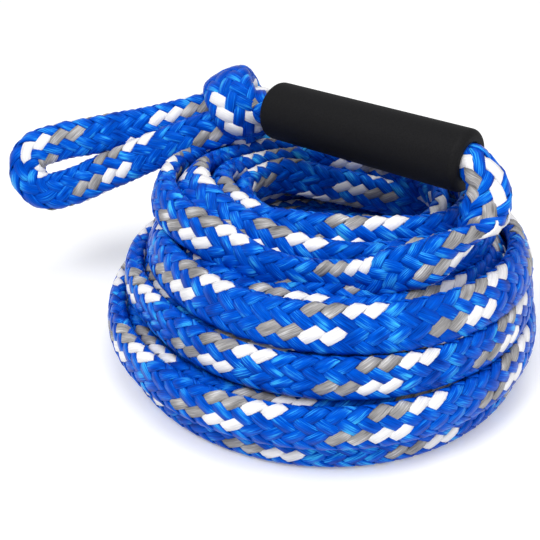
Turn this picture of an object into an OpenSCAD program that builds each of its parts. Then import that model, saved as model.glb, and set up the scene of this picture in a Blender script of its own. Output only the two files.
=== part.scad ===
// Floating tow rope with a foam grip sleeve, wound up for storage.
// A long hollow braid lies in five stacked tiers of turns, every turn standing on its edge.
// The sleeve, a stopper knot and the towing eye lie on top, and the boat eye is in the well.
// Millimetres, +Z up. The part stands on z = 0, and the coil's axis is at coil_x.

/* [Rope] */
// Width of the braid where it lies flat
rope_width = 28; // [26:0.5:30]
// Thickness of the braid where it lies flat
rope_thickness = 12; // [11:0.5:12.5]

/* [Coil] */
// Outer radius of the lowest tier
coil_radius = 136; // [133:0.5:139]
// Height of the lowest tier, which carries all the others
first_tier_height = 22; // [20:0.5:24]
// Height of each tier above it
tier_height = 24.5; // [24:0.5:25.5]
// How much more each tier leans back than the one below, in degrees
tier_lean = 1.3; // [0.8:0.1:1.4]

/* [Sleeve] */
// Length of the foam sleeve
sleeve_length = 148; // [144:1:152]
// Outer diameter of the foam sleeve
sleeve_diameter = 38; // [36:0.5:40]
// Bore of the foam sleeve
bore_diameter = 22; // [20:0.5:24]
// Rounding of the sleeve's outer edges
sleeve_round = 4.5; // [3:0.5:6]
// Rounding of the bore's edges
bore_round = 2; // [1:0.5:2.5]
// Direction of the sleeve in plan, from the knot to the lead, in degrees
sleeve_heading = -40.6; // [-43:0.2:-38]
// Rise of the sleeve from the knot to the lead, in degrees
sleeve_rise = 3.5; // [2:0.5:5]
// Gap all round between the rope and the bore
bore_clearance = 0.1; // [0.05:0.05:0.1]

/* [Knot] */
// Outer diameter of the stopper knot
knot_diameter = 54; // [50:1:58]
// Distance from the sleeve's end to the middle of the knot
knot_distance = 34; // [32:1:36]
// How far the knot hangs below the sleeve's axis
knot_sag = 5; // [3:0.5:7]

/* [Towing eye] */
// Length of the eye from the knot's lower side to its tip
eye_length = 147; // [140:1:154]
// Distance between the middles of the eye's two legs
eye_spread = 31.5; // [30:0.5:34]
// Width of the braid where it is laid into the eye
eye_rope_width = 26; // [25:0.5:27]

/* [Hidden] */

rope_blue = [0.03, 0.24, 0.86];
rope_light = [0.10, 0.34, 0.92];
foam_black = [0.09, 0.09, 0.10];

round_facets = 96;
tube_facets = 40;
ring_sides = 12;

// Tiers, from the lowest to the highest. Places are from the coil's axis.
tier_turns = [7, 7, 7, 3, 4];
tier_grow = [0, 6.5, -6, -17, -35];
tier_x = [2, 0, 8, 13, 2];
tier_y = [0, -2, -1, 2, 17];
turn_round = rope_thickness / 2;
lean_line = -100;
top_lean = 2;
cut_size = 400;

// What a tier has to spare above the plane that cuts it, and what the top tier has.
spare_height = 2;
top_spare_height = 14;

// Sleeve: the middle of its axis, and the axis itself.
sleeve_middle = [26, 11, 144.5];
sleeve_axis = [
    cos(sleeve_rise) * cos(sleeve_heading),
    cos(sleeve_rise) * sin(sleeve_heading),
    sin(sleeve_rise)
];
core_diameter = bore_diameter - 2 * bore_clearance;

// Knot: a wrap round the rope, a smaller one at the eye's side and a filled middle.
knot_middle = along_sleeve(-sleeve_length / 2 - knot_distance) - [0, 0, knot_sag];
knot_turn = [0, 117, 179];
wrap_round = 12.5;
wrap_radius = knot_diameter / 2 - wrap_round;
small_wrap_round = 9;
small_wrap_radius = 11;
small_wrap_shift = 14;
knot_fill_radius = 17;

// Towing eye: x runs from the knot to the tip, y across the legs, z out of their plane.
eye_root = knot_middle + [-19.5, -5, -8];
eye_turn = [114, 16.1, 185];
eye_bend = eye_spread / 2;
eye_straight = eye_length - eye_bend - eye_rope_width / 2;
eye_tip_reach = eye_length * cos(eye_turn[1]) * cos(eye_turn[2]);

// The part is centred on z between the eye's tip and the widest tier.
coil_right = coil_radius + max(tier_grow);
eye_left = eye_root[0] + eye_tip_reach;
coil_x = -(coil_right + eye_left) / 2;

// Lead: from the sleeve's end, down and round into the top tier. From the coil's axis.
lead_route = [
    along_sleeve(sleeve_length / 2 - 8),
    along_sleeve(sleeve_length / 2),
    along_sleeve(sleeve_length / 2 + 7),
    [90, -47, 143],
    [91, -52, 136],
    [88, -59, 129],
    [82, -67, 123],
    [73, -75, 118],
    [62, -81, 113],
    [50, -83, 108],
    [37, -82, 104],
    [24, -78, 101],
    [6, -71, 98],
    [-20, -67, 97]
];
lead_widths = [20, 21, 23, 26, 27, 28, 28, 28, 28, 28, 28, 28, 28, 28];
lead_heights = [20, 19, 17, 14, 13, 12, 12, 12, 12, 12, 12, 12, 12, 12];

// Boat eye: from the lowest tier's inner turn into the well and round. From the coil's axis.
boat_route = [
    [60, 26], [54, 14], [49, 3], [42, -8], [32, -15], [20, -19], [6, -22], [-10, -24],
    [-24, -24], [-34, -20], [-40, -10], [-39, 0], [-33, 8], [-22, 11], [-10, 8], [0, 3]
];
splice_outline = [[30, -20], [34, -10], [18, -5], [2, 8], [-5, 0], [2, -16], [16, -23]];
splice_height = 24;

function along_sleeve(d) = sleeve_middle + d * sleeve_axis;
function tier_base(i) = i == 0 ? 0 : first_tier_height + (i - 1) * tier_height;
function plane_lean(i) = i < len(tier_turns) ? tier_lean * i : top_lean;
function tier_radius(i) = coil_radius + tier_grow[i];
function unit(v) = v / norm(v);
function tangent(route, i) =
    unit(route[min(i + 1, len(route) - 1)] - route[max(i - 1, 0)]);
function upward(t) = unit([0, 0, 1] - t[2] * t);

// One oval ring of a tube: w along the wide direction, h across it.
function oval_ring(middle, t, wide, w, h) = [
    for (k = [0 : ring_sides - 1])
        let (a = 360 * k / ring_sides)
        middle + wide * (w / 2 * cos(a)) + cross(t, wide) * (h / 2 * sin(a))
];

// Faces that join n rings into one closed tube.
function tube_faces(n) = concat(
    [[for (k = [0 : ring_sides - 1]) k]],
    [
        for (i = [0 : n - 2])
            for (k = [0 : ring_sides - 1])
                let (j = (k + 1) % ring_sides)
                [
                    i * ring_sides + k,
                    (i + 1) * ring_sides + k,
                    (i + 1) * ring_sides + j,
                    i * ring_sides + j
                ]
    ],
    [[for (k = [ring_sides - 1 : -1 : 0]) (n - 1) * ring_sides + k]]
);

// A tube through rings that are given one after another.
module tube(rings) {
    polyhedron(
        points = [for (ring = rings) each ring],
        faces = tube_faces(len(rings)),
        convexity = 8
    );
}

// Places the tier's own plane, which leans back about a line under the coil's front.
module leaning(i) {
    translate([0, lean_line, tier_base(i)])
        rotate([-plane_lean(i), 0, 0])
            translate([0, -lean_line, 0])
                children();
}

// Half section of a tier: a band of turns with round shoulders.
module band(inner, outer, height) {
    translate([inner + turn_round, 0])
        square([outer - inner - 2 * turn_round, height]);
    translate([inner, turn_round])
        square([outer - inner, height - 2 * turn_round]);
    for (x = [inner + turn_round, outer - turn_round], y = [turn_round, height - turn_round])
        translate([x, y])
            circle(r = turn_round, $fn = tube_facets);
}

module coil_tier(i) {
    outer = tier_radius(i);
    inner = outer - tier_turns[i] * rope_thickness;
    height = tier_base(i + 1) - tier_base(i);
    spare = i < len(tier_turns) - 1 ? spare_height : top_spare_height;
    color(i % 2 == 0 ? rope_blue : rope_light)
        translate([coil_x, 0, 0])
            difference() {
                leaning(i)
                    translate([tier_x[i], tier_y[i], 0])
                        rotate_extrude($fn = round_facets)
                            band(inner, outer, height + spare);
                leaning(i + 1)
                    translate([-cut_size / 2, -cut_size / 2, 0])
                        cube([cut_size, cut_size, cut_size / 4]);
            }
}

module rope_lead() {
    color(rope_light)
        translate([coil_x, 0, 0])
            tube([
                for (i = [0 : len(lead_route) - 1])
                    let (t = tangent(lead_route, i))
                    oval_ring(lead_route[i], t, upward(t), lead_widths[i], lead_heights[i])
            ]);
}

// Stands a child on the sleeve's axis, its own z along the axis.
module on_sleeve_axis() {
    translate([coil_x, 0, 0])
        translate(sleeve_middle)
            rotate([0, 90 - sleeve_rise, sleeve_heading])
                children();
}

module rope_core() {
    color(rope_blue)
        on_sleeve_axis()
            translate([0, 0, -sleeve_length / 2 - knot_distance])
                cylinder(d = core_diameter, h = sleeve_length + knot_distance, $fn = tube_facets);
}

// A ring of rope round z: the round of the rope, and the radius of its middle.
module wrap(radius, round_radius) {
    rotate_extrude($fn = round_facets)
        translate([radius, 0])
            circle(r = round_radius, $fn = tube_facets);
}

module stopper_knot() {
    color(rope_light)
        translate([coil_x, 0, 0])
            translate(knot_middle)
                rotate(knot_turn) {
                    wrap(wrap_radius, wrap_round);
                    translate([0, 0, small_wrap_shift])
                        wrap(small_wrap_radius, small_wrap_round);
                    sphere(r = knot_fill_radius, $fn = tube_facets);
                }
}

// Middle of the eye's rope as [along, across, out of plane], for one leg and half the bend.
function eye_half(side) = [
    [-12, side * 6.5, side * 7],
    [4, side * 6.8, side * 7.5],
    [0.21 * eye_straight, side * 7.6, side * 7],
    [0.40 * eye_straight, side * 9.4, side * 6],
    [0.57 * eye_straight, side * 11.9, side * 3.5],
    [0.70 * eye_straight, side * 13.4, side * 1],
    [0.86 * eye_straight, side * eye_bend, 0],
    for (a = [90 : -22.5 : 22.5])
        [eye_straight + eye_bend * cos(a), side * eye_bend * sin(a), 0]
];
eye_route = concat(
    eye_half(1),
    [[eye_straight + eye_bend, 0, 0]],
    [for (i = [len(eye_half(-1)) - 1 : -1 : 0]) eye_half(-1)[i]]
);

module tow_eye() {
    color(rope_blue)
        translate([coil_x, 0, 0])
            translate(eye_root)
                rotate(eye_turn)
                    tube([
                        for (i = [0 : len(eye_route) - 1])
                            let (t = tangent(eye_route, i), wide = unit(cross(t, [0, 0, 1])))
                            oval_ring(eye_route[i], t, wide, eye_rope_width, rope_thickness)
                    ]);
}

module float_sleeve() {
    radius = sleeve_diameter / 2;
    bore = bore_diameter / 2;
    color(foam_black)
        on_sleeve_axis()
            translate([0, 0, -sleeve_length / 2])
                rotate_extrude($fn = round_facets)
                    difference() {
                        union() {
                            translate([0, sleeve_round])
                                square([radius, sleeve_length - 2 * sleeve_round]);
                            square([radius - sleeve_round, sleeve_length]);
                            for (z = [sleeve_round, sleeve_length - sleeve_round])
                                translate([radius - sleeve_round, z])
                                    circle(r = sleeve_round, $fn = tube_facets);
                        }
                        translate([-1, -1])
                            square([bore + 1, sleeve_length + 2]);
                        for (end = [0, 1])
                            translate([0, end * sleeve_length])
                                mirror([0, end])
                                    bore_lip(bore);
                    }
}

// What the rounding takes off the bore's edge.
module bore_lip(bore) {
    difference() {
        translate([bore - 1, -1])
            square([bore_round + 1, bore_round + 1]);
        translate([bore + bore_round, bore_round])
            circle(r = bore_round, $fn = tube_facets);
    }
}

module boat_eye() {
    route = [for (p = boat_route) [p[0], p[1], rope_width / 2]];
    color(rope_blue)
        translate([coil_x, 0, 0])
            tube([
                for (i = [0 : len(route) - 1])
                    oval_ring(route[i], tangent(route, i), [0, 0, 1], rope_width, rope_thickness)
            ]);
}

module boat_splice() {
    color(rope_light)
        translate([coil_x, 0, (rope_width - splice_height) / 2])
            linear_extrude(height = splice_height)
                polygon(splice_outline);
}

coil_tier(0);  // coil_tier_1
coil_tier(1);  // coil_tier_2
coil_tier(2);  // coil_tier_3
coil_tier(3);  // coil_tier_4
coil_tier(4);  // coil_tier_5
rope_lead();
rope_core();
stopper_knot();
tow_eye();
float_sleeve();
boat_eye();
boat_splice();
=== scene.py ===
"""Studio scene of a floating tow rope: a braided rope wound in tiers, with a foam sleeve on top.

Every size is in metres, in the same frame as the CAD model: +Z up, standing on z = 0.
"""

import logging
import math
from dataclasses import dataclass, field
from enum import Enum
from typing import ClassVar, Iterable, Sequence

import bpy
import numpy as np
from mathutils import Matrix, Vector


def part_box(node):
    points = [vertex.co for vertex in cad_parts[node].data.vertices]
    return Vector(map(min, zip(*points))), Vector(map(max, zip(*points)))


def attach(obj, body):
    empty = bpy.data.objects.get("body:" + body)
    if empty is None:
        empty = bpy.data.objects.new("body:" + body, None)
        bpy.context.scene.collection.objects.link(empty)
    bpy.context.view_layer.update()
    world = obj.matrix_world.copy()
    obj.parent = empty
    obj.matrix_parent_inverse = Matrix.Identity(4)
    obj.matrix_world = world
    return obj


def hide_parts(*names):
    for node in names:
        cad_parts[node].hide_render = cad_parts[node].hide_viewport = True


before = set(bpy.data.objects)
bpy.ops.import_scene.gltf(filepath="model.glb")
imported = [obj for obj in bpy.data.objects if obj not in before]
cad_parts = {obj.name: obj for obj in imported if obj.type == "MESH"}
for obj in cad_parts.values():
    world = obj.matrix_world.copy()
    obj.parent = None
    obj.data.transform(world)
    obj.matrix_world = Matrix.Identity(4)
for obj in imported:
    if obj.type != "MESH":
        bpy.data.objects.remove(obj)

log = logging.getLogger("tow_rope")

MM = 0.001

# Name of the UV map of every strand.
STRAND_MAP = "strand"

# A colour's red, green and blue, and what a node's socket takes.
Colour = tuple[float, float, float]
Value = bpy.types.NodeSocket | float | Sequence[float]

UP = np.array([0.0, 0.0, 1.0])

# The coil's axis stands in the middle of the widest tier of the CAD model.
COIL_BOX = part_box("coil_tier_2")
COIL_AXIS = np.array([(COIL_BOX[0][0] + COIL_BOX[1][0]) / 2, 0.0, 0.0])

# The sleeve lies above the coil as in the CAD model, and its axis points from the knot to the lead.
SLEEVE_MIDDLE = COIL_AXIS + np.array([26.0, 11.0, 144.5]) * MM
SLEEVE_HEADING = math.radians(-40.6)
SLEEVE_RISE = math.radians(3.5)
SLEEVE_AXIS = np.array([
    math.cos(SLEEVE_RISE) * math.cos(SLEEVE_HEADING),
    math.cos(SLEEVE_RISE) * math.sin(SLEEVE_HEADING),
    math.sin(SLEEVE_RISE),
])
SLEEVE_LENGTH = 148.0 * MM

# The knot stands off the sleeve's end and hangs a little below its axis.
KNOT_DISTANCE = 34.0 * MM
KNOT_SAG = 5.0 * MM
KNOT_MIDDLE = SLEEVE_MIDDLE - SLEEVE_AXIS * (SLEEVE_LENGTH / 2 + KNOT_DISTANCE) - UP * KNOT_SAG


class Yarn(Enum):
    """Colours of the rope's strands, and the painted shade of its inside."""

    BLUE = "blue"
    WHITE = "white"
    GREY = "grey"
    # Painted shade: the dark colour of the braid's inside.
    INSIDE_SHADE = "inside"


# ---- small helpers


def smoothstep(value: np.ndarray) -> np.ndarray:
    """Ramp from 0 at 0 to 1 at 1, with level ends."""
    t = np.clip(value, 0.0, 1.0)
    return t * t * (3.0 - 2.0 * t)


def unit(vectors: np.ndarray) -> np.ndarray:
    """Vectors along the last axis, scaled to length one."""
    return vectors / np.linalg.norm(vectors, axis=-1, keepdims=True)


def turn_matrix(angles: Sequence[float]) -> np.ndarray:
    """Rotation about x, then y, then z.

    Args:
        angles: The three angles in radians.

    Returns:
        A 3 by 3 matrix, whose columns are the turned axes.
    """
    (sx, sy, sz), (cx, cy, cz) = np.sin(angles), np.cos(angles)
    about_x = np.array([[1, 0, 0], [0, cx, -sx], [0, sx, cx]])
    about_y = np.array([[cy, 0, sy], [0, 1, 0], [-sy, 0, cy]])
    about_z = np.array([[cz, -sz, 0], [sz, cz, 0], [0, 0, 1]])
    return about_z @ about_y @ about_x


def along_sleeve(distance: float) -> np.ndarray:
    """Point on the sleeve's axis at a distance from its middle towards the lead."""
    return SLEEVE_MIDDLE + SLEEVE_AXIS * distance


# ---- rope lines


@dataclass
class RopeLine:
    """The middle of a flat rope, with its section at each point.

    Args:
        middle: Points, one row each.
        wide: Direction of the section's wide side at each point.
        width: Width of the section at each point.
        height: Thickness of the section at each point.
    """

    middle: np.ndarray
    wide: np.ndarray
    width: np.ndarray
    height: np.ndarray

    @classmethod
    def through(cls, rows: Iterable[Sequence]) -> "RopeLine":
        """Line through rows of (point, wide direction, width, height)."""
        points, wides, widths, heights = zip(*rows)
        return cls(np.array(points), np.array(wides, float), np.array(widths), np.array(heights))

    def then(self, other: "RopeLine") -> "RopeLine":
        """This line with another one after it.

        Args:
            other: The line that follows.

        Returns:
            Both in one.
        """
        return RopeLine(
            np.vstack([self.middle, other.middle]),
            np.vstack([self.wide, other.wide]),
            np.concatenate([self.width, other.width]),
            np.concatenate([self.height, other.height]),
        )

    def travelled(self) -> np.ndarray:
        """Distance along the line at each point, from 0."""
        steps = np.linalg.norm(np.diff(self.middle, axis=0), axis=1)
        return np.concatenate([[0.0], np.cumsum(steps)])

    def smoothed(self, step: float) -> "RopeLine":
        """The same line as a smooth curve with evenly spaced points.

        It passes through every point, and its slope there is the one between the point's
        neighbours.

        Args:
            step: Distance between points.

        Returns:
            The new line.
        """
        columns = np.column_stack([self.middle, self.wide, self.width, self.height])
        at = self.travelled()
        slope = np.empty_like(columns)
        slope[0] = (columns[1] - columns[0]) / (at[1] - at[0])
        slope[1:-1] = (columns[2:] - columns[:-2]) / (at[2:] - at[:-2])[:, None]
        slope[-1] = (columns[-1] - columns[-2]) / (at[-1] - at[-2])
        count = int(round(at[-1] / step))
        wanted = np.linspace(0.0, at[-1], count + 1)
        before = np.clip(np.searchsorted(at, wanted, side="right") - 1, 0, len(at) - 2)
        after = before + 1
        gap = (at[after] - at[before])[:, None]
        t = (wanted - at[before])[:, None] / gap
        out = (
            (2 * t**3 - 3 * t**2 + 1) * columns[before]
            + (t**3 - 2 * t**2 + t) * gap * slope[before]
            + (3 * t**2 - 2 * t**3) * columns[after]
            + (t**3 - t**2) * gap * slope[after]
        )
        return RopeLine(out[:, :3], unit(out[:, 3:6]), out[:, 6], out[:, 7])

    def frames(self) -> tuple[np.ndarray, np.ndarray, np.ndarray]:
        """Directions along, across and through the rope at each point.

        Returns:
            The tangents, the wide directions and the thin directions.
        """
        along = unit(np.gradient(self.middle, axis=0))
        wide = unit(self.wide - (self.wide * along).sum(axis=1)[:, None] * along)
        return along, wide, np.cross(along, wide)


# ---- meshes


def loft(
    name: str,
    rings: np.ndarray,
    material: bpy.types.Material,
    travelled: np.ndarray,
) -> bpy.types.Object:
    """Join rings of points into one smooth closed skin with flat ends.

    The UV map runs from 0 to 1 round each ring, and along the skin in millimetres.

    Args:
        name: Name of the object.
        rings: Points as (ring, place round the ring, xyz).
        material: The finish.
        travelled: Distance along the skin at each ring.

    Returns:
        The linked object.
    """
    count, sides = rings.shape[:2]
    ring = np.arange(count - 1)[:, None] * sides
    side = np.arange(sides)
    beside = (side + 1) % sides
    next_ring = ring + sides
    quads = np.stack([ring + side, ring + beside, next_ring + beside, next_ring + side], -1)
    ends = [side[::-1], side + (count - 1) * sides]
    corners = np.concatenate([quads.ravel(), *ends]).astype(np.int32)
    sizes = np.concatenate([np.full(quads.size // 4, 4), [sides, sides]]).astype(np.int32)
    starts = np.concatenate([[0], np.cumsum(sizes)[:-1]]).astype(np.int32)
    share, next_share = side / sides, (side + 1) / sides
    here, there = travelled[:-1, None] / MM, travelled[1:, None] / MM
    places = [(share, here), (next_share, here), (next_share, there), (share, there)]
    uvs = np.zeros((len(corners), 2), np.float32)
    uvs[: quads.size] = np.stack(
        [np.stack(np.broadcast_arrays(*place), -1) for place in places], 2
    ).reshape(-1, 2)
    mesh = bpy.data.meshes.new(name)
    mesh.vertices.add(count * sides)
    mesh.vertices.foreach_set("co", rings.astype(np.float32).ravel())
    mesh.loops.add(len(corners))
    mesh.loops.foreach_set("vertex_index", corners)
    mesh.polygons.add(len(sizes))
    mesh.polygons.foreach_set("loop_start", starts)
    mesh.polygons.foreach_set("loop_total", sizes)
    mesh.update(calc_edges=True)
    mesh.uv_layers.new(name=STRAND_MAP).data.foreach_set("uv", uvs.ravel())
    mesh.polygons.foreach_set("use_smooth", np.ones(len(sizes), bool))
    mesh.materials.append(material)
    mesh.validate()
    skin = bpy.data.objects.new(name, mesh)
    bpy.context.scene.collection.objects.link(skin)
    return skin


# ---- the braid


@dataclass(frozen=True)
class BraidPattern:
    """How the strands of a hollow braid run.

    Args:
        pitch: Length of rope in which a strand goes once round.
        per_family: Strands that go round the same way.
        rise: How far a strand lies above or below the middle of the wall.
        thickness: Thickness of a strand in its middle.
        cover: Width of a strand against its share of the wall.
        swell: How much wider a strand is where it lies on top, as a share.
        snap: How suddenly a strand changes from over to under, from 0 for slowly.
        least_lean: Least width of a strand that runs across the rope, as a share.
        squareness: Shape of the rope's section, from 1 for an ellipse towards 0 for a rectangle.
        start_turn: Where the first strand starts round the section, as a share of the way round.
        tracers: Colours of neighbouring strands of one family; the others are blue.
        first_tracer: Number of the first of them.
        creep: How far the uneven lay has shifted the strands, as pairs of a length of rope and
            the shift there.
        outline: Section of a strand: across in half widths, and outward in thicknesses.
    """

    pitch: float = 93.0 * MM
    per_family: int = 8
    rise: float = 0.8 * MM
    thickness: float = 1.7 * MM
    cover: float = 1.18
    swell: float = 0.10
    snap: float = 2.0
    least_lean: float = 0.2
    squareness: float = 0.80
    start_turn: float = 0.034
    tracers: tuple[Yarn, ...] = (Yarn.WHITE, Yarn.WHITE, Yarn.GREY, Yarn.GREY)
    first_tracer: int = 0
    creep: tuple[tuple[float, float], ...] = ((0.0, 0.0),)
    outline: tuple[tuple[float, float], ...] = (
        (-1.0, -0.48), (-0.86, 0.26), (0.0, 0.46), (0.86, 0.26), (1.0, -0.48),
    )

    def laid(self, travelled: np.ndarray) -> np.ndarray:
        """Lengths of evenly laid rope with as many strand turns as these lengths of the rope."""
        places, shifts = np.array(self.creep).T
        return travelled + np.interp(travelled, places, shifts)

    def yarn(self, family: int, index: int) -> Yarn:
        """Colour of one strand.

        Args:
            family: 1 or -1, the way that the strand goes round.
            index: Number of the strand in its family.

        Returns:
            The colour.
        """
        number = (index - self.first_tracer) % self.per_family
        if family < 0 and number < len(self.tracers):
            return self.tracers[number]
        return Yarn.BLUE


@dataclass
class Braid:
    """A rope made of strands that go over two and under two.

    Args:
        line: The rope's middle, evenly spaced.
        pattern: How the strands run.
        finishes: Material for each colour.
        girth: Way round the middle of the wall at each point of the line; worked out.
        wall: Places on the middle of the wall, across and through the rope; worked out.
        outward: Outward directions at these places; worked out.
    """

    # Number of places round each section in the tables.
    WALL_POINTS: ClassVar[int] = 96

    line: RopeLine
    pattern: BraidPattern
    finishes: dict[Yarn, bpy.types.Material]
    girth: np.ndarray = field(init=False)
    wall: np.ndarray = field(init=False)
    outward: np.ndarray = field(init=False)

    def __post_init__(self) -> None:
        """Lay out the middle of the wall, evenly spaced round each section."""
        inset = self.pattern.rise + self.pattern.thickness / 2
        angles = np.linspace(0.0, 2 * math.pi, self.WALL_POINTS + 1)
        circle = np.stack([np.cos(angles), np.sin(angles)])
        shape = np.sign(circle) * np.abs(circle) ** self.pattern.squareness
        across = (self.line.width / 2 - inset)[:, None] * shape[0]
        through = (self.line.height / 2 - inset)[:, None] * shape[1]
        steps = np.hypot(np.diff(across, axis=1), np.diff(through, axis=1))
        round_it = np.cumsum(np.pad(steps, ((0, 0), (1, 0))), axis=1)
        even = np.linspace(0.0, 1.0, self.WALL_POINTS, endpoint=False)
        self.girth = round_it[:, -1]
        self.wall = np.array([
            [np.interp(even * way[-1], way, x), np.interp(even * way[-1], way, y)]
            for way, x, y in zip(round_it, across, through)
        ]).transpose(0, 2, 1)
        run = np.roll(self.wall, -1, axis=1) - np.roll(self.wall, 1, axis=1)
        self.outward = unit(np.stack([run[..., 1], -run[..., 0]], -1))

    def on_wall(self, share: np.ndarray) -> tuple[np.ndarray, np.ndarray]:
        """Points of the wall at a share of the way round each section.

        Args:
            share: The share at each point of the line.

        Returns:
            Places and outward directions, each across and through the rope.
        """
        count = self.WALL_POINTS
        at = np.mod(share, 1.0) * count
        low = np.floor(at).astype(int)
        part = (at - low)[:, None]
        rows = np.arange(len(at))
        places, normals = (
            table[rows, low % count] * (1 - part) + table[rows, (low + 1) % count] * part
            for table in (self.wall, self.outward)
        )
        return places, unit(normals)

    def strand_rings(self, family: int, index: int) -> np.ndarray:
        """Rings of points of one strand.

        Each strand meets the other family's strands one after another, and lies over two of
        them and under the next two.

        Args:
            family: 1 or -1, the way that the strand goes round.
            index: Number of the strand in its family.

        Returns:
            Points as (ring, place round the ring, xyz).
        """
        pattern = self.pattern
        along, wide, thin = self.line.frames()
        turns = family * pattern.laid(self.line.travelled()) / pattern.pitch
        crossings = 2 * pattern.per_family * turns + 2 * index
        wave = np.cos(math.pi / 2 * (crossings - 0.5))
        over = family * np.tanh(pattern.snap * wave) / math.tanh(pattern.snap)
        flat, outward = self.on_wall(turns + index / pattern.per_family + pattern.start_turn)
        flat = flat + outward * (pattern.rise * over)[:, None]
        middle = self.line.middle + flat[:, :1] * wide + flat[:, 1:] * thin
        normal = outward[:, :1] * wide + outward[:, 1:] * thin
        run = unit(np.gradient(middle, axis=0))
        side = unit(np.cross(normal, run))
        normal = np.cross(run, side)
        lean = np.clip(np.abs((run * along).sum(axis=1)), pattern.least_lean, 1.0)
        share = pattern.cover * self.girth / (2 * pattern.per_family)
        half = share * lean * (1 + pattern.swell * over)
        rings = [
            middle + side * (half * across)[:, None] + normal * (pattern.thickness * out)
            for across, out in pattern.outline
        ]
        return np.stack(rings, 1)

    def strand(self, name: str, family: int, index: int) -> bpy.types.Object:
        """Make one strand.

        Args:
            name: Start of the object's name.
            family: 1 or -1, the way that the strand goes round.
            index: Number of the strand in its family.

        Returns:
            The strand.
        """
        way = "left" if family > 0 else "right"
        finish = self.finishes[self.pattern.yarn(family, index)]
        rings = self.strand_rings(family, index)
        piece = loft(f"{name}_{way}_{index + 1}", rings, finish, self.line.travelled())
        return piece

    def liner(self, name: str, sides: int = 12) -> bpy.types.Object:
        """Make the inside of the braid, which closes the chinks between strands; its dark colour is
        painted shade.

        Args:
            name: Name of the object.
            sides: Points round the section.

        Returns:
            The liner.
        """
        _, wide, thin = self.line.frames()
        every = self.WALL_POINTS // sides
        depth = self.pattern.rise + self.pattern.thickness / 3
        sunk = self.wall[:, ::every] - self.outward[:, ::every] * depth
        rings = self.line.middle[:, None] + sum(
            sunk[..., n : n + 1] * way[:, None] for n, way in enumerate((wide, thin))
        )
        piece = loft(name, rings, self.finishes[Yarn.INSIDE_SHADE], self.line.travelled())
        return piece

    def make(self, name: str) -> tuple[bpy.types.Object, list[bpy.types.Object]]:
        """Make the strands and the liner, which move with the rope.

        Args:
            name: Start of the objects' names.

        Returns:
            The liner and the strands.
        """
        strands = [
            self.strand(name, family, index)
            for family in (1, -1)
            for index in range(self.pattern.per_family)
        ]
        liner = self.liner(f"{name}_inside")
        for piece in [liner, *strands]:
            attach(piece, "rope")
        return liner, strands


# ---- the coil


@dataclass(frozen=True)
class Tier:
    """One tier of turns that stand on edge.

    Args:
        radius: Outer radius.
        turns: Number of turns side by side.
        shift: Place of its middle from the coil's axis, x and y.
        bulge: How far it bulges out on its left.
        lean_in: How far the turns' tops lean towards the axis, in degrees.
        turn_pitch: Distance between two turns side by side.
    """

    radius: float
    turns: int
    shift: tuple[float, float]
    bulge: float = 0.0
    lean_in: float = 10.0
    turn_pitch: float = 12 * MM


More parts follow.
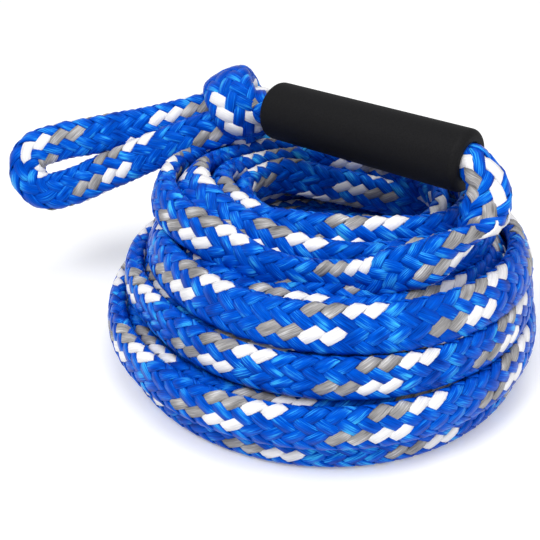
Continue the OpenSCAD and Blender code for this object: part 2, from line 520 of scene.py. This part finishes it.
@dataclass
class Coil:
    """The neatly wound rope, from the highest whole tier down to the lowest one's inner turn.

    Args:
        tiers: Tiers from the lowest to the highest.
        bases: Height of each tier's base, and of the highest one's top, at the lean line.
        lean: How much more each tier leans back than the one below, in degrees.
        lean_line: Where the leaning planes are at their own height, along y.
        thickness: Thickness of the rope in the coil.
        slack: How much wider the rope is than its tier is high, as a share.
        second_dip: How far the second turn of a tier sinks below the outermost one.
        floor_dip: Share of that dip in the lowest tier, which lies on the floor.
        change_start: Where a turn starts to change its place, in degrees clockwise.
        change_length: Over how many degrees it does so.
        change_delay: Share of these degrees by which a change of tier starts later.
        excursion: How far the rope swings out of its place as it changes tier.
        bulge_angle: The far side from the bulges' middle, in degrees.
        bulge_reach: How far a bulge reaches to each side, in degrees.
        unevenness: How far a turn wanders from its even place.
        seed: Seed of the small unevenness.
        starts_at: Where the coil's first turn starts, in degrees clockwise.
        ends_at: Where its last turn ends, in degrees clockwise.
        step: Degrees between two points of the line.
    """

    tiers: tuple[Tier, ...] = (
        Tier(136 * MM, 7, (2 * MM, 0.0)),
        Tier(142.5 * MM, 7, (0.0, -2 * MM)),
        Tier(130 * MM, 7, (8 * MM, -1 * MM), 10 * MM),
        Tier(120 * MM, 3, (13 * MM, 2 * MM), 6 * MM, 28.0, 14 * MM),
    )
    bases: tuple[float, ...] = (1.5 * MM, 22 * MM, 46.5 * MM, 71 * MM, 95.5 * MM)
    lean: float = 1.3
    lean_line: float = -100 * MM
    thickness: float = 12.6 * MM
    slack: float = 0.03
    second_dip: float = 2.8 * MM
    floor_dip: float = 0.3
    change_start: float = 245.0
    change_length: float = 45.0
    change_delay: float = 0.3
    excursion: float = 9 * MM
    bulge_angle: float = -12.0
    bulge_reach: float = 52.0
    unevenness: float = 0.5 * MM
    seed: int = 7
    starts_at: float = 15.0
    ends_at: float = 334.0
    step: float = 3.0

    def places(self) -> list[tuple[int, int]]:
        """The (tier, turn) places in the order in which the rope fills them.

        The highest tier is filled from its inner turn outwards, the next one inwards, and so on.

        Returns:
            Tier and turn numbers, counted from the lowest tier and from the outermost turn.
        """
        out: list[tuple[int, int]] = []
        outwards = True
        for tier in reversed(range(len(self.tiers))):
            turns = range(self.tiers[tier].turns)
            out += [(tier, turn) for turn in (reversed(turns) if outwards else turns)]
            outwards = not outwards
        return out

    def plane(self, number: int, y: np.ndarray) -> np.ndarray:
        """Height at y of a leaning plane, counted from 0 for the lowest tier's base."""
        slope = math.tan(math.radians(self.lean * number))
        return self.bases[number] - (y - self.lean_line) * slope

    def place_rows(self, place: tuple[int, int], angle: np.ndarray) -> np.ndarray:
        """Where the rope's middle is in one place of the coil.

        Args:
            place: Tier and turn.
            angle: Angles from above, anticlockwise from +X, in radians.

        Returns:
            Rows of x, y, z, the height that the tier has there and the turns' lean in degrees.
        """
        number, turn = place
        tier = self.tiers[number]
        off_left = np.abs(np.mod(angle - math.radians(self.bulge_angle), 2 * math.pi) - math.pi)
        bulge = smoothstep(1 - off_left / math.radians(self.bulge_reach))
        radius = tier.radius - self.thickness / 2 - turn * tier.turn_pitch + tier.bulge * bulge
        # Each place has its own seed, and two and three shallow waves round the turn.
        wobble = np.random.default_rng(self.seed + 31 * number + turn).uniform(-1, 1, 5)
        radius = radius + self.unevenness * (
            wobble[0] * np.sin(2 * angle + 6 * wobble[1]) + wobble[2] * np.sin(3 * angle)
        )
        x = tier.shift[0] + radius * np.cos(angle)
        y = tier.shift[1] + radius * np.sin(angle)
        low, high = self.plane(number, y), self.plane(number + 1, y)
        z = (low + high) / 2
        if number > 0:
            z = z + self.unevenness * wobble[3] * np.sin(2 * angle + 6 * wobble[4])
        if turn == 1:
            z = z - self.second_dip * (1.0 if number > 0 else self.floor_dip)
        return np.stack([x, y, z, high - low, np.full(len(x), tier.lean_in)], -1)

    def line(self) -> RopeLine:
        """The rope's middle through the whole coil.

        Once in each turn the rope changes to its next place. Where that is in the tier below,
        it swings clear of the turn beside it and then drops.

        Returns:
            The line.
        """
        places = self.places()
        last = 360.0 * (len(places) - 1) + self.ends_at
        clock = np.arange(self.starts_at, last + self.step / 2, self.step)
        angle = -np.radians(clock)
        radial = np.stack([np.cos(angle), np.sin(angle), np.zeros(len(angle))], -1)
        number = np.floor((clock - self.change_start) / 360.0).astype(int)
        number = np.clip(number, -1, len(places) - 2)
        within = (clock - self.change_start - 360.0 * number) / self.change_length
        blend = smoothstep(within)[:, None]
        drop = smoothstep(within - self.change_delay)[:, None]
        swing = np.sin(math.pi * np.clip(within / (1 + self.change_delay), 0, 1))[:, None]
        before = number < 0
        rows = np.zeros((len(clock), 5))
        rows[before] = self.place_rows(places[0], angle[before])
        for n, (here, there) in enumerate(zip(places, places[1:])):
            now = number == n
            old = self.place_rows(here, angle[now])
            new = self.place_rows(there, angle[now])
            rows[now] = old * (1 - blend[now]) + new * blend[now]
            if here[0] != there[0]:
                rows[now, 2:] = (old * (1 - drop[now]) + new * drop[now])[:, 2:]
                outward = 1 if here[1] == 0 else -1
                rows[now, :2] += outward * self.excursion * swing[now] * radial[now, :2]
        middle = rows[:, :3] + COIL_AXIS
        lean_in = np.radians(rows[:, 4:])
        wide = UP * np.cos(lean_in) - radial * np.sin(lean_in)
        width = rows[:, 3] * (1 + self.slack) / np.cos(lean_in[:, 0])
        return RopeLine(middle, wide, width, np.full(len(rows), self.thickness))


# ---- finishes


@dataclass
class MaterialTree:
    """A material made of nodes.

    Args:
        name: Name of the material.
        material: The material; made here.
    """

    name: str
    material: bpy.types.Material = field(init=False)

    def __post_init__(self) -> None:
        """Start the material."""
        self.material = bpy.data.materials.new(self.name)
        self.material.use_nodes = True

    def add(self, kind: str) -> bpy.types.Node:
        """Add a node of one kind."""
        return self.material.node_tree.nodes.new(kind)

    def put(self, value: Value, socket: bpy.types.NodeSocket) -> None:
        """Give a socket its value.

        Args:
            value: The value, or another socket that it is linked to.
            socket: The socket.
        """
        if isinstance(value, bpy.types.NodeSocket):
            self.material.node_tree.links.new(value, socket)
        else:
            socket.default_value = value

    def calculate(self, operation: str, *values: Value) -> bpy.types.NodeSocket:
        """Work out one sum.

        Args:
            operation: The math node's operation.
            values: Its inputs.

        Returns:
            The result.
        """
        node = self.add("ShaderNodeMath")
        node.operation = operation
        for value, socket in zip(values, node.inputs):
            self.put(value, socket)
        return node.outputs[0]

    def stretched(self, place: Value, scale: Sequence[float]) -> bpy.types.NodeSocket:
        """Coordinates that are scaled on each axis.

        Args:
            place: The coordinates.
            scale: Scale on each axis.

        Returns:
            The new coordinates.
        """
        mapping = self.add("ShaderNodeMapping")
        self.put(scale, mapping.inputs["Scale"])
        self.put(place, mapping.inputs["Vector"])
        return mapping.outputs["Vector"]

    def noise(self, place: Value, scale: float, detail: float) -> bpy.types.NodeSocket:
        """Noise from 0 to 1.

        Args:
            place: The coordinates.
            scale: Scale of the noise.
            detail: Its number of finer layers.

        Returns:
            The noise's value.
        """
        noise = self.add("ShaderNodeTexNoise")
        self.put(scale, noise.inputs["Scale"])
        self.put(detail, noise.inputs["Detail"])
        self.put(place, noise.inputs["Vector"])
        return noise.outputs["Fac"]

    def ramp(
        self, value: Value, stops: Sequence[float], colours: Sequence[Colour]
    ) -> bpy.types.NodeSocket:
        """Turn a value into a colour.

        Args:
            value: The value.
            stops: Where each colour lies on the ramp.
            colours: The colours.

        Returns:
            The colour.
        """
        ramp = self.add("ShaderNodeValToRGB")
        elements = ramp.color_ramp.elements
        while len(elements) < len(stops):
            elements.new(0.5)
        for element, stop, colour in zip(elements, stops, colours):
            element.position = stop
            element.color = (*colour, 1.0)
        self.put(value, ramp.inputs["Fac"])
        return ramp.outputs["Color"]

    def relief(self, height: Value, strength: float, depth: float) -> bpy.types.NodeSocket:
        """Relief of a value.

        Args:
            height: The value.
            strength: Strength of the relief.
            depth: Depth of the relief.

        Returns:
            The surface's normal.
        """
        bump = self.add("ShaderNodeBump")
        self.put(strength, bump.inputs["Strength"])
        self.put(depth, bump.inputs["Distance"])
        self.put(height, bump.inputs["Height"])
        return bump.outputs["Normal"]

    def dress(self, values: dict[str, Value]) -> bpy.types.Material:
        """Give the main shader its values.

        Args:
            values: Values by the name of the shader's socket.

        Returns:
            The finished material.
        """
        shader = self.material.node_tree.nodes["Principled BSDF"]
        for name, value in values.items():
            self.put(value, shader.inputs[name])
        return self.material


@dataclass(frozen=True)
class YarnFinish:
    """Glossy filament yarn of one colour.

    Args:
        yarn: The colour's name.
        deep: Colour between the filaments, and the painted shade along the strand's edges.
        light: Colour of the filaments.
        glint: Painted highlight, the colour of the bundles that seem to catch the light.
        roughness: Roughness of the filaments.
        specular: Strength of their gloss.
        filaments: Scale of the filaments, round the strand and along it in millimetres.
        bundles: Scale of the bundles of filaments, likewise.
        stops: Where the three colours lie on the ramp.
        crown: Where the strand's crown lies, as a share of the way round its section.
        edge_shade: How much painted shade deepens the colour at the edges.
        bump: Strength of the filaments' relief.
        bump_depth: Depth of that relief.
    """

    yarn: Yarn
    deep: Colour
    light: Colour
    glint: Colour
    roughness: float = 0.34
    specular: float = 0.22
    filaments: tuple[float, float, float] = (30.0, 0.10, 1.0)
    bundles: tuple[float, float, float] = (2.2, 0.075, 1.0)
    stops: tuple[float, float, float] = (0.30, 0.53, 0.69)
    crown: float = 0.4
    edge_shade: float = 1.2
    bump: float = 0.35
    bump_depth: float = 0.35 * MM

    def make(self) -> bpy.types.Material:
        """Build the material.

        Returns:
            The material.
        """
        tree = MaterialTree(f"yarn_{self.yarn.value}")
        uv_map = tree.add("ShaderNodeUVMap")
        uv_map.uv_map = STRAND_MAP
        on_strand = uv_map.outputs["UV"]
        parts = tree.add("ShaderNodeSeparateXYZ")
        tree.put(on_strand, parts.inputs["Vector"])
        filaments = tree.noise(tree.stretched(on_strand, self.filaments), 1.0, detail=3.0)
        bundles = tree.noise(tree.stretched(on_strand, self.bundles), 1.0, detail=1.0)
        # Painted shade: the colour deepens towards the strand's edges, away from its crown.
        off_crown = tree.calculate("SUBTRACT", parts.outputs["X"], self.crown)
        edge_shade_mask = tree.calculate("MULTIPLY", off_crown, off_crown)
        both = tree.calculate("ADD", filaments, bundles)
        shaded = tree.calculate("MULTIPLY_ADD", edge_shade_mask, -self.edge_shade, both)
        mean = tree.calculate("MULTIPLY", shaded, 0.5)
        # Painted highlight: the ramp's top colour is the glint.
        return tree.dress({
            "Base Color": tree.ramp(mean, self.stops, (self.deep, self.light, self.glint)),
            "Roughness": self.roughness,
            "Specular IOR Level": self.specular,
            "Specular Tint": (*self.glint, 1.0),
            "Normal": tree.relief(filaments, self.bump, self.bump_depth),
        })


@dataclass(frozen=True)
class FoamFinish:
    """Matte closed-cell foam.

    Args:
        light: Colour of the skin.
        deep: Colour in the pores.
        roughness: Roughness of the skin.
        specular: Strength of its gloss.
        pore_scale: How fine the pores are.
        stops: Where the pores' colour and the skin's lie on the ramp.
        bump: Strength of the pores' relief.
        bump_depth: Depth of that relief.
    """

    light: Colour = (0.008, 0.008, 0.009)
    deep: Colour = (0.004, 0.004, 0.005)
    roughness: float = 0.62
    specular: float = 0.12
    pore_scale: float = 1400.0
    stops: tuple[float, float] = (0.35, 0.60)
    bump: float = 0.25
    bump_depth: float = 0.2 * MM

    def make(self) -> bpy.types.Material:
        """Build the material.

        Returns:
            The material.
        """
        tree = MaterialTree("foam_black")
        place = tree.add("ShaderNodeTexCoord").outputs["Object"]
        pores = tree.noise(place, self.pore_scale, detail=4.0)
        return tree.dress({
            "Base Color": tree.ramp(pores, self.stops, (self.deep, self.light)),
            "Roughness": self.roughness,
            "Specular IOR Level": self.specular,
            "Normal": tree.relief(pores, self.bump, self.bump_depth),
        })


@dataclass(frozen=True)
class FloorFinish:
    """The studio's white floor.

    Args:
        colour: Its colour.
        roughness: Its roughness.
        specular: Strength of its gloss.
        glow: How much it is lifted towards white in view, and in what mirrors it.
    """

    colour: Colour = (0.93, 0.93, 0.935)
    roughness: float = 0.9
    specular: float = 0.1
    glow: float = 0.14

    def make(self) -> bpy.types.Material:
        """Build the material.

        Returns:
            The material.
        """
        tree = MaterialTree("floor_white")
        ray = tree.add("ShaderNodeLightPath").outputs
        seen = tree.calculate("ADD", ray["Is Camera Ray"], ray["Is Glossy Ray"])
        return tree.dress({
            "Base Color": (*self.colour, 1.0),
            "Roughness": self.roughness,
            "Specular IOR Level": self.specular,
            "Emission Color": (1.0, 1.0, 1.0, 1.0),
            "Emission Strength": tree.calculate("MULTIPLY", seen, self.glow),
        })


ROPE_FINISHES = (
    # The third colour of each finish is its painted highlight.
    YarnFinish(Yarn.BLUE, (0.0, 0.010, 0.19), (0.0, 0.086, 0.62), (0.06, 0.56, 0.96)),
    YarnFinish(Yarn.WHITE, (0.62, 0.62, 0.64), (0.86, 0.85, 0.86), (0.90, 0.89, 0.90)),
    YarnFinish(Yarn.GREY, (0.07, 0.07, 0.075), (0.34, 0.33, 0.33), (0.78, 0.78, 0.79)),
    # The braid's inside is dark blue as painted shade.
    YarnFinish(Yarn.INSIDE_SHADE, (0.0, 0.006, 0.10), (0.0, 0.015, 0.20), (0.0, 0.03, 0.30), 0.6),
)


# ---- the object


@dataclass
class TowRope:
    """The rope from the knot through the sleeve, down the lead and through the coil.

    Args:
        coil: The wound part.
        pattern: How the strands run.
        flat: Width and thickness of the rope where it lies flat in the loose turns.
        at_knot: Width and thickness where it leaves the knot.
        at_sleeve: Width and thickness where it narrows towards the sleeve.
        at_sleeve_places: How far from the sleeve's end it has that size.
        in_bore: Width and thickness inside the sleeve.
        bore_points: Number of points inside the sleeve.
        eye_height: Height of the boat eye's middle in the well.
        step: Distance between the points of a strand.
        path_every: How many of these distances make one step of a path; not used.
    """

    coil: Coil = field(default_factory=Coil)
    pattern: BraidPattern = BraidPattern(
        creep=(
            (0.23, -23 * MM), (0.33, 0.0),
            (2.90, 0.0), (3.30, 5 * MM), (3.75, 5 * MM), (4.10, 26 * MM), (4.50, 26 * MM),
            (11.60, 36 * MM), (12.05, 36 * MM), (12.50, 60 * MM),
        )
    )
    flat: tuple[float, float] = (28 * MM, 12.6 * MM)
    at_knot: tuple[float, float] = (27 * MM, 22 * MM)
    at_sleeve: tuple[float, float] = (26 * MM, 23 * MM)
    at_sleeve_places: tuple[float, ...] = (16 * MM, 9 * MM)
    in_bore: tuple[float, float] = (21.4 * MM, 21.4 * MM)
    bore_points: int = 9
    eye_height: float = 16 * MM
    step: float = 2.325 * MM
    path_every: int = 4

    # The lead: place from the coil's axis, wide direction, width and thickness, in millimetres.
    LEAD: ClassVar[tuple] = (
        ((86, -42, 147), (0.78, 0.62, 0.00), 24, 17),
        ((90, -47, 142), (0.89, 0.45, 0.05), 26, 15),
        ((91, -53, 135), (0.95, 0.27, 0.16), 28, 13.5),
        ((88, -60, 128), (0.92, 0.16, 0.36), 28, 12.5),
        ((82, -68, 122), (0.77, 0.08, 0.63), 28, 12.5),
        ((73, -75, 117), (0.56, 0.08, 0.82), 28, 12.5),
        ((62, -81, 113), (0.35, 0.15, 0.92), 28, 12.5),
        ((50, -83, 108), (0.22, 0.20, 0.95), 28, 12.5),
        ((37, -82, 104), (0.10, 0.20, 0.97), 27, 12.5),
    )

    # The loose turns on top: place from the coil's axis in millimetres, and lean in degrees.
    TOP_TURNS: ClassVar[tuple] = (
        ((24, -80, 97), 0), ((6, -76, 93), -6), ((-20, -71, 92), -4), ((-42, -62, 94), 6),
        ((-59, -48, 97), 18), ((-76, -36, 101), 20), ((-91, -20, 103), 20), ((-101, 0, 105), 22),
        ((-102, 25, 106), 22), ((-92, 52, 101), 15), ((-70, 78, 95), 12), ((-38, 97, 92), 10),
        ((5, 103, 90), 10), ((45, 97, 91), 10), ((78, 76, 93), 10), ((99, 45, 96), 10),
        ((106, 12, 99), 10), ((102, -18, 101), 10), ((90, -42, 100), 10), ((72, -56, 99), 12),
        ((50, -62, 98), 8),
        ((28, -63, 96), 2), ((7, -62, 96), 4), ((-18, -57, 98), 15), ((-40, -47, 102), 30),
        ((-61, -31, 106), 50), ((-77, -11, 110), 50), ((-84, 11, 111), 48), ((-81, 37, 106), 38),
        ((-66, 60, 100), 25), ((-42, 79, 96), 15), ((-6, 87, 95), 12), ((30, 84, 96), 12),
        ((62, 68, 98), 12), ((83, 44, 100), 12), ((92, 15, 105), 10), ((90, -15, 105), 10),
        ((78, -36, 104), 12),
        ((60, -46, 104), 15), ((40, -48, 104), 18), ((20, -47, 103), 20), ((3, -44, 103), 22),
        ((-17, -40, 103), 24), ((-39, -33, 103), 28), ((-57, -16, 104), 34), ((-67, 7, 104), 36),
        ((-67, 32, 102), 32), ((-53, 52, 97), 20), ((-29, 68, 94), 15), ((4, 74, 93), 12),
        ((38, 68, 93), 12), ((63, 50, 94), 10), ((75, 25, 96), 10), ((76, 0, 95), 10),
        ((66, -20, 93), 8),
        ((48, -32, 91), 5), ((25, -35, 89), 5), ((0, -31, 88), 5), ((-24, -21, 89), 8),
        ((-47, -2, 93), 14), ((-53, 22, 95), 16), ((-43, 43, 93), 12), ((-24, 56, 92), 10),
        ((5, 60, 84), 8), ((38, 58, 77), 5), ((72, 46, 73), 5), ((91, 25, 73), 12),
        ((97.5, 2, 75), 22),
    )

    # The boat eye: place from the coil's axis, width and thickness, in millimetres.
    BOAT_EYE: ClassVar[tuple] = (
        ((49, 3), 28, 12),
        ((42, -8), 29, 14),
        ((32, -15), 30, 17),
        ((20, -19), 30, 16),
        ((6, -22), 28, 13),
        ((-10, -24), 28, 12),
        ((-24, -24), 28, 12),
        ((-34, -20), 28, 12),
        ((-40, -10), 28, 12),
        ((-39, 0), 28, 12),
        ((-33, 8), 28, 12),
        ((-22, 11), 28, 12),
        ((-10, 8), 27, 12),
        ((2, 1), 25, 11),
        ((12, -8), 20, 9),
        ((22, -15), 16, 8),
    )

    def in_sleeve(self) -> RopeLine:
        """The straight run from the knot to the sleeve's far end.

        Returns:
            The line.
        """
        side = unit(np.cross(UP, SLEEVE_AXIS))
        end = SLEEVE_LENGTH / 2
        inside = np.linspace(-end, end, self.bore_points)
        rows = [(KNOT_MIDDLE, side, *self.at_knot)]
        rows += [(along_sleeve(-end - off), side, *self.at_sleeve) for off in self.at_sleeve_places]
        rows += [(along_sleeve(off), side, *self.in_bore) for off in inside]
        return RopeLine.through(rows)

    def lead(self) -> RopeLine:
        """The bend from the sleeve down to the coil.

        Returns:
            The line.
        """
        return RopeLine.through(
            (COIL_AXIS + np.array(place) * MM, wide, width * MM, height * MM)
            for place, wide, width, height in self.LEAD
        )

    def top_turns(self) -> RopeLine:
        """The loose turns on top, wound clockwise and inwards.

        Returns:
            The line.
        """
        middle = np.array([place for place, _ in self.TOP_TURNS], float)
        lean = np.radians([angle for _, angle in self.TOP_TURNS])[:, None]
        outward = unit(np.cross(UP, np.gradient(middle, axis=0)))
        wide = UP * np.cos(lean) - outward * np.sin(lean)
        width, thickness = (np.full(len(middle), size) for size in self.flat)
        return RopeLine(COIL_AXIS + middle * MM, wide, width, thickness)

    def boat_eye(self) -> RopeLine:
        """The spliced eye in the coil's well.

        Returns:
            The line.
        """
        return RopeLine.through(
            (COIL_AXIS + np.array([x * MM, y * MM, self.eye_height]), UP, width * MM, height * MM)
            for (x, y), width, height in self.BOAT_EYE
        )

    def line(self) -> RopeLine:
        """The whole length in one, evenly spaced."""
        whole = self.in_sleeve().then(self.lead()).then(self.top_turns())
        return whole.then(self.coil.line()).then(self.boat_eye()).smoothed(self.step)

    def make(self, finishes: dict[Yarn, bpy.types.Material]) -> None:
        """Args:
            finishes: Material for each colour.
        """
        line = self.line()
        liner, strands = Braid(line, self.pattern, finishes).make("rope")
        tiers = [f"coil_tier_{n + 1}" for n in range(len(self.coil.tiers) + 1)]
        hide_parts("rope_core", "rope_lead", "boat_eye", "boat_splice", *tiers)
        length = float(line.travelled()[-1])
        log.info("rope: %.2f m, %d strands", length, len(strands))


@dataclass
class TowEye:
    """The eye that stands out from the knot.

    Args:
        pattern: How the strands run.
        length: From the root to the outside of the tip.
        spread: Distance between the legs' middles.
        width: Width of the rope in the eye.
        thickness: Thickness of the rope in the eye.
        root: Where the eye starts, from the knot's middle.
        turn: Turns about x, y and z that lay the eye's plane.
        step: Distance between the points of a strand.
    """

    # Where a leg leaves the knot: along, across and out of the eye's plane, in millimetres.
    ROOT_POINTS: ClassVar[tuple] = ((-12, 6.5, 7), (4, 6.8, 7.5))

    # Its further points: share of the straight stretch, then across and out, in millimetres.
    LEG_POINTS: ClassVar[tuple] = (
        (0.21, 7.6, 7), (0.40, 9.4, 6), (0.57, 11.9, 3.5), (0.70, 13.4, 1),
    )

    # Where a leg reaches its full spread, as a share of the straight stretch.
    FULL_SPREAD: ClassVar[float] = 0.86

    # Where the bend has points, in degrees from its tip.
    BEND_ANGLES: ClassVar[tuple] = (90.0, 67.5, 45.0, 22.5)

    pattern: BraidPattern = BraidPattern()
    length: float = 147 * MM
    spread: float = 31.5 * MM
    width: float = 26 * MM
    thickness: float = 14 * MM
    root: tuple[float, float, float] = (-19.5 * MM, -5.0 * MM, -8.0 * MM)
    turn: tuple[float, float, float] = (
        math.radians(114.0), math.radians(16.1), math.radians(185.0),
    )
    step: float = 1.45 * MM

    def leg(self, side: int) -> list[tuple[float, float, float]]:
        """One leg and half the bend, in the eye's own plane.

        Args:
            side: 1 for the upper leg, -1 for the lower one.

        Returns:
            Points along the eye, across it and out of its plane.
        """
        bend = self.spread / 2
        straight = self.length - bend - self.width / 2
        points = [
            (out * MM, side * across * MM, side * off * MM) for out, across, off in self.ROOT_POINTS
        ]
        points += [
            (share * straight, side * across * MM, side * off * MM)
            for share, across, off in self.LEG_POINTS
        ]
        points.append((self.FULL_SPREAD * straight, side * bend, 0.0))
        for angle in np.radians(self.BEND_ANGLES):
            points.append((straight + bend * math.cos(angle), side * bend * math.sin(angle), 0.0))
        return points

    def line(self) -> RopeLine:
        """The eye's middle from the knot round to the knot.

        Returns:
            The line, evenly spaced.
        """
        tip = (self.length - self.width / 2, 0.0, 0.0)
        flat = np.array([*self.leg(-1), tip, *self.leg(1)[::-1]])
        turn = turn_matrix(self.turn)
        middle = KNOT_MIDDLE + np.array(self.root) + flat @ turn.T
        along = unit(np.gradient(middle, axis=0))
        wide = np.cross(along, turn[:, 2])
        width = np.full(len(middle), self.width)
        thickness = np.full(len(middle), self.thickness)
        return RopeLine(middle, wide, width, thickness).smoothed(self.step)

    def make(self, finishes: dict[Yarn, bpy.types.Material]) -> None:
        """Args:
            finishes: Material for each colour.
        """
        line = self.line()
        liner, strands = Braid(line, self.pattern, finishes).make("eye")
        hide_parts("tow_eye")
        length = float(line.travelled()[-1])
        log.info("towing eye: %.3f m of rope", length)


@dataclass
class StopperKnot:
    """The thick wrap between the eye and the sleeve.

    Args:
        pattern: How the strands run; they are finer here, and only white ones show.
        turn: Turns about x, y and z that lay the wrap's axis.
        wrap: How far the rope goes round, in degrees.
        wrap_points: Number of points that lay it out.
        radius: Radius of the rope's middle in the wrap.
        advance: How far the wrap moves along its axis.
        width: Width of the rope in the wrap.
        thickness: Thickness of the rope in the wrap.
        tuck: Share of the wrap in which each end tucks in.
        tuck_depth: How far the ends tuck in.
        tuck_width: Width of the rope at the ends, as a share.
        tuck_thickness: Thickness of the rope at the ends, as a share.
        step: Distance between the points of a strand.
    """

    pattern: BraidPattern = BraidPattern(
        pitch=80 * MM,
        per_family=10,
        rise=0.9 * MM,
        thickness=1.9 * MM,
        tracers=(Yarn.WHITE, Yarn.WHITE, Yarn.WHITE),
        first_tracer=4,
    )
    turn: tuple[float, float, float] = (0.0, math.radians(117.0), math.radians(179.0))
    wrap: float = 450.0
    wrap_points: int = 31
    radius: float = 17.5 * MM
    advance: float = 8 * MM
    width: float = 36 * MM
    thickness: float = 19 * MM
    tuck: float = 0.16
    tuck_depth: float = 9 * MM
    tuck_width: float = 0.7
    tuck_thickness: float = 0.6
    step: float = 1.5 * MM

    def line(self) -> RopeLine:
        """The wrap's middle.

        Returns:
            The line, evenly spaced.
        """
        turn = turn_matrix(self.turn)
        share = np.linspace(0.0, 1.0, self.wrap_points)
        angles = math.radians(self.wrap) * share
        free = smoothstep(share / self.tuck) * smoothstep((1 - share) / self.tuck)
        radius = self.radius - self.tuck_depth * (1 - free)
        flat = np.stack([
            radius * np.cos(angles), radius * np.sin(angles), (share - 0.5) * self.advance
        ], -1)
        wide = np.tile(turn[:, 2], (len(angles), 1))
        width = self.width * (self.tuck_width + (1 - self.tuck_width) * free)
        thickness = self.thickness * (self.tuck_thickness + (1 - self.tuck_thickness) * free)
        return RopeLine(KNOT_MIDDLE + flat @ turn.T, wide, width, thickness).smoothed(self.step)

    def make(self, finishes: dict[Yarn, bpy.types.Material]) -> None:
        """Make the wrap.

        Args:
            finishes: Material for each colour.
        """
        liner, strands = Braid(self.line(), self.pattern, finishes).make("knot")
        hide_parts("stopper_knot")
        log.info("stopper knot: %d strands", len(strands))


@dataclass
class FoamSleeve:
    """The foam sleeve, whose CAD shape stays.

    Args:
        finish: Its material.
    """

    finish: FoamFinish = FoamFinish()

    def make(self) -> None:
        """Give the CAD sleeve its foam."""
        sleeve = bpy.data.objects["float_sleeve"]
        sleeve.data.materials.clear()
        sleeve.data.materials.append(self.finish.make())
        log.info("foam sleeve")


# ---- the studio


@dataclass(frozen=True)
class SoftBox:
    """A square lamp that looks at the object.

    Args:
        name: Name of the lamp.
        place: Where it hangs.
        size: Length of its sides.
        power: Its power in watts.
        target: The point that it looks at.
    """

    name: str
    place: tuple[float, float, float]
    size: float
    power: float
    target: tuple[float, float, float] = (20 * MM, 0.0, 60 * MM)

    def make(self) -> None:
        """Hang the lamp."""
        data = bpy.data.lights.new(self.name, "AREA")
        data.shape = "SQUARE"
        data.size = self.size
        data.energy = self.power
        lamp = bpy.data.objects.new(self.name, data)
        lamp.location = self.place
        x, y, z = np.subtract(self.target, self.place)
        tilt, heading = math.atan2(math.hypot(x, y), -z), math.atan2(y, x)
        lamp.rotation_euler = (tilt, 0.0, heading - math.pi / 2)
        bpy.context.scene.collection.objects.link(lamp)


@dataclass
class Studio:
    """Camera, floor and soft lights.

    Args:
        camera_place: Place of the camera.
        camera_pitch: How far the camera looks down, in degrees.
        focal_length: Its focal length in millimetres.
        sensor_width: Width of its sensor in millimetres.
        clip_start: Nearest distance that the camera sees.
        floor_size: Side of the floor.
        floor_finish: Its material.
        lamps: The soft boxes.
        ambient: Strength of the even white light all round.
    """

    camera_place: tuple[float, float, float] = (COIL_AXIS[0] - 34 * MM, -532 * MM, 396 * MM)
    camera_pitch: float = 33.0
    focal_length: float = 63.33
    sensor_width: float = 36.0
    clip_start: float = 10 * MM
    floor_size: float = 12.0
    floor_finish: FloorFinish = FloorFinish()
    lamps: tuple[SoftBox, ...] = (
        SoftBox("key", (-0.7, -0.7, 1.5), 0.7, 12.3),
        SoftBox("fill", (0.9, -0.9, 0.9), 0.9, 5.0),
        SoftBox("top", (0.15, -0.2, 1.8), 1.0, 9.6),
    )
    ambient: float = 0.58

    def camera(self) -> None:
        """Make the camera."""
        data = bpy.data.cameras.new("camera")
        data.lens = self.focal_length
        data.sensor_width = self.sensor_width
        data.clip_start = self.clip_start
        camera = bpy.data.objects.new("camera", data)
        camera.location = self.camera_place
        camera.rotation_euler = (math.radians(90.0 - self.camera_pitch), 0.0, 0.0)
        bpy.context.scene.collection.objects.link(camera)
        bpy.context.scene.camera = camera
        log.info("camera")

    def floor(self) -> None:
        """Make the floor."""
        bpy.ops.mesh.primitive_plane_add(size=self.floor_size, location=(0.0, 0.0, 0.0))
        floor = bpy.context.object
        floor.name = "floor"
        floor.data.materials.append(self.floor_finish.make())
        log.info("floor")

    def lights(self) -> None:
        """Make the lamps and the even light all round."""
        for lamp in self.lamps:
            lamp.make()
        world = bpy.data.worlds.new("studio")
        world.use_nodes = True
        background = world.node_tree.nodes["Background"]
        background.inputs["Color"].default_value = (1.0, 1.0, 1.0, 1.0)
        background.inputs["Strength"].default_value = self.ambient
        bpy.context.scene.world = world
        log.info("lights: %d lamps", len(self.lamps))


def main() -> None:
    """Build the scene."""
    logging.basicConfig(level=logging.INFO, format="%(message)s")
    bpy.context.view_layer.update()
    studio = Studio()
    studio.camera()
    finishes = {finish.yarn: finish.make() for finish in ROPE_FINISHES}
    TowRope().make(finishes)
    TowEye().make(finishes)
    StopperKnot().make(finishes)
    FoamSleeve().make()
    studio.floor()
    studio.lights()
    bpy.context.scene.view_settings.view_transform = "Standard"


if __name__ == "__main__":
    main()
